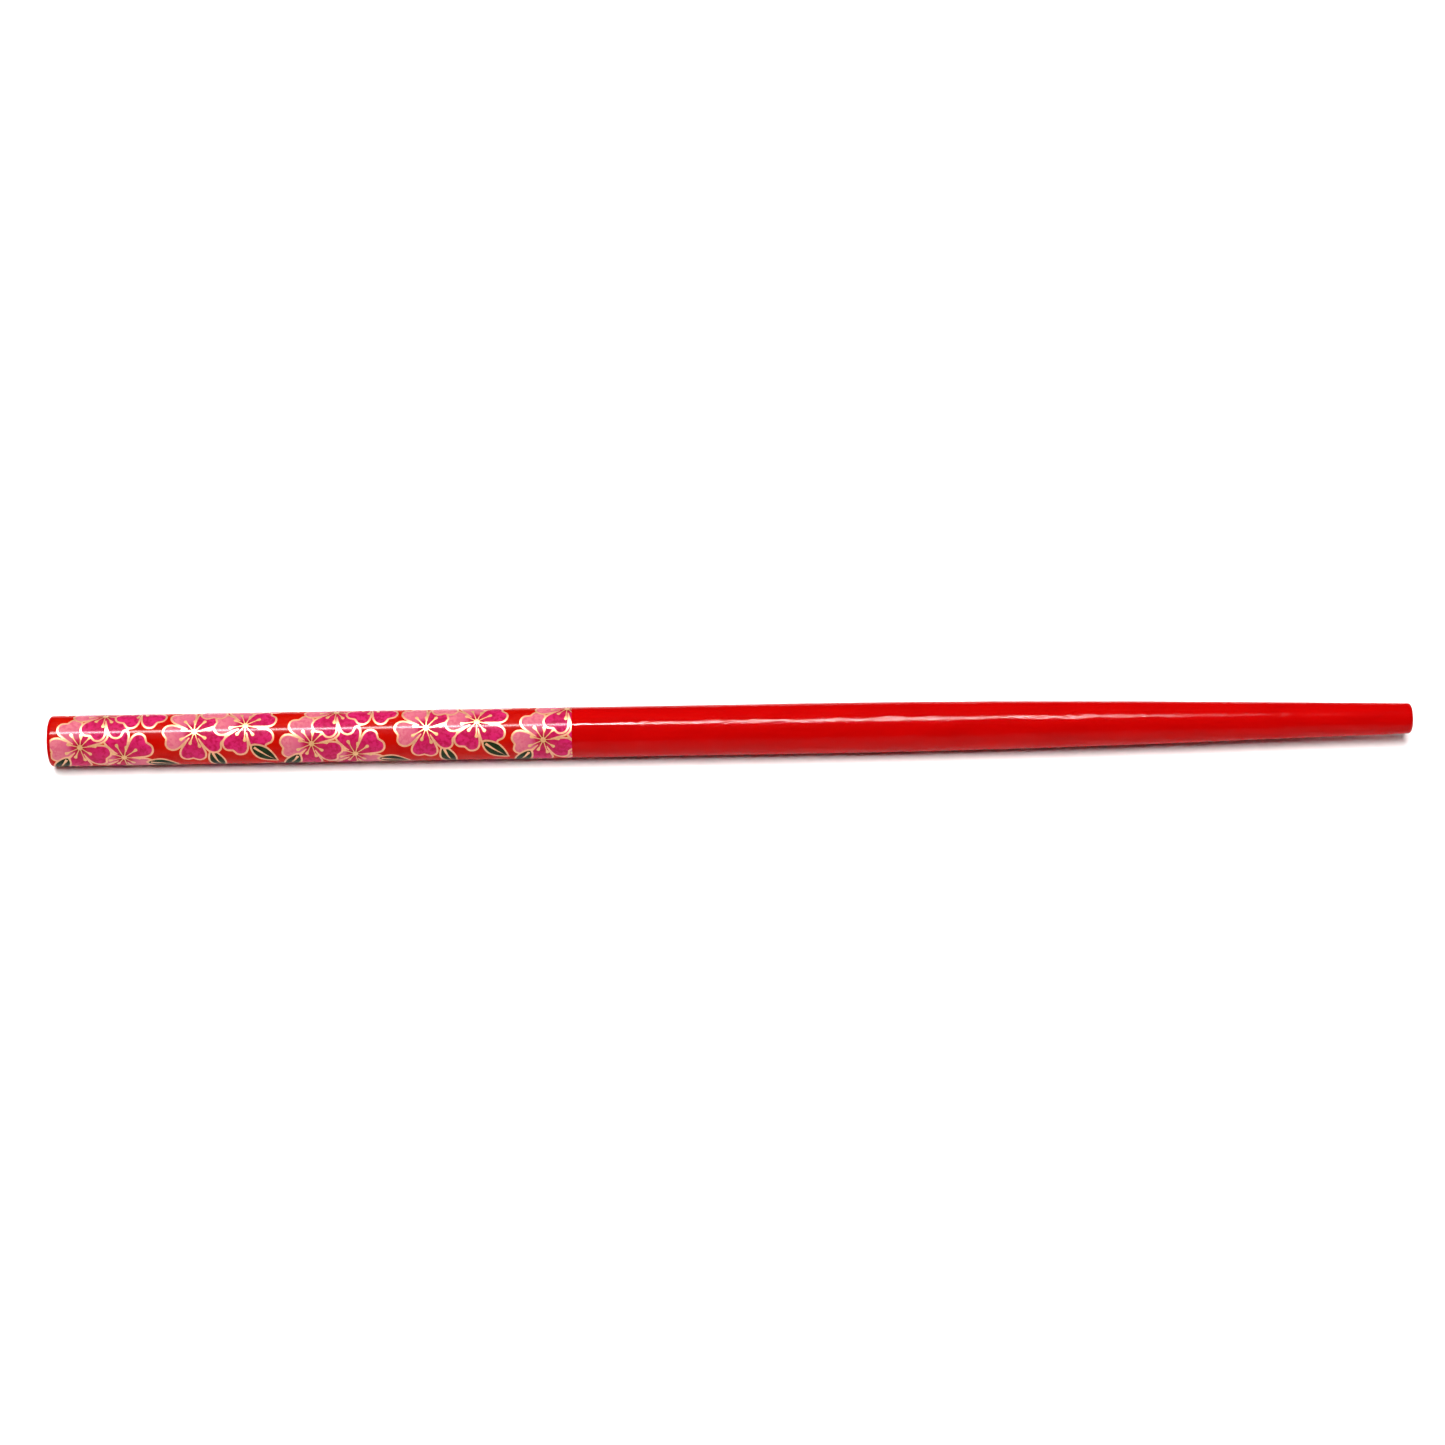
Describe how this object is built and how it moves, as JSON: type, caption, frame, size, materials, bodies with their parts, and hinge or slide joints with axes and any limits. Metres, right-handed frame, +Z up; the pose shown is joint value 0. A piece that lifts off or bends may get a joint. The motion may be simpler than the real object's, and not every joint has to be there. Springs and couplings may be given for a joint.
{
  "type": "decorative hair pin",
  "caption": "Straight round hair stick that pins a bun: turned wood in red gloss lacquer, thick end wrapped in cherry-blossom transfer film, tapering to a blunt tip.",
  "frame": {"origin": "on the stick's axis, at the centre of the butt's flat end face", "axes": "+X along the stick to the tip; the print's front faces halfway between -Y and +Z; +Z up when it lies on a table"},
  "size_m": [0.178, 0.0066, 0.0066],
  "materials": {
    "wood": "turned, sanded smooth under the lacquer",
    "red_lacquer": "high gloss, faintly rippled by brush and dip",
    "film_red": "printed red ground, glossy",
    "leaf_green": "printed ink under gloss",
    "petal_pale": "printed ink under gloss, mottled",
    "petal_pink": "printed ink under gloss, mottled",
    "gold_foil": "polished foil",
    "clear_film": "clear gloss film"
  },
  "bodies": {
    "root": {"wood_core": "wood", "red_lacquer": "red_lacquer", "film_backing": "film_red", "leaf_print": "leaf_green", "pale_petal_print": "petal_pale", "pink_petal_print": "petal_pink", "gold_outlines": "gold_foil", "gold_stamens": "gold_foil", "clear_film": "clear_film"}
  },
  "joints": []
}
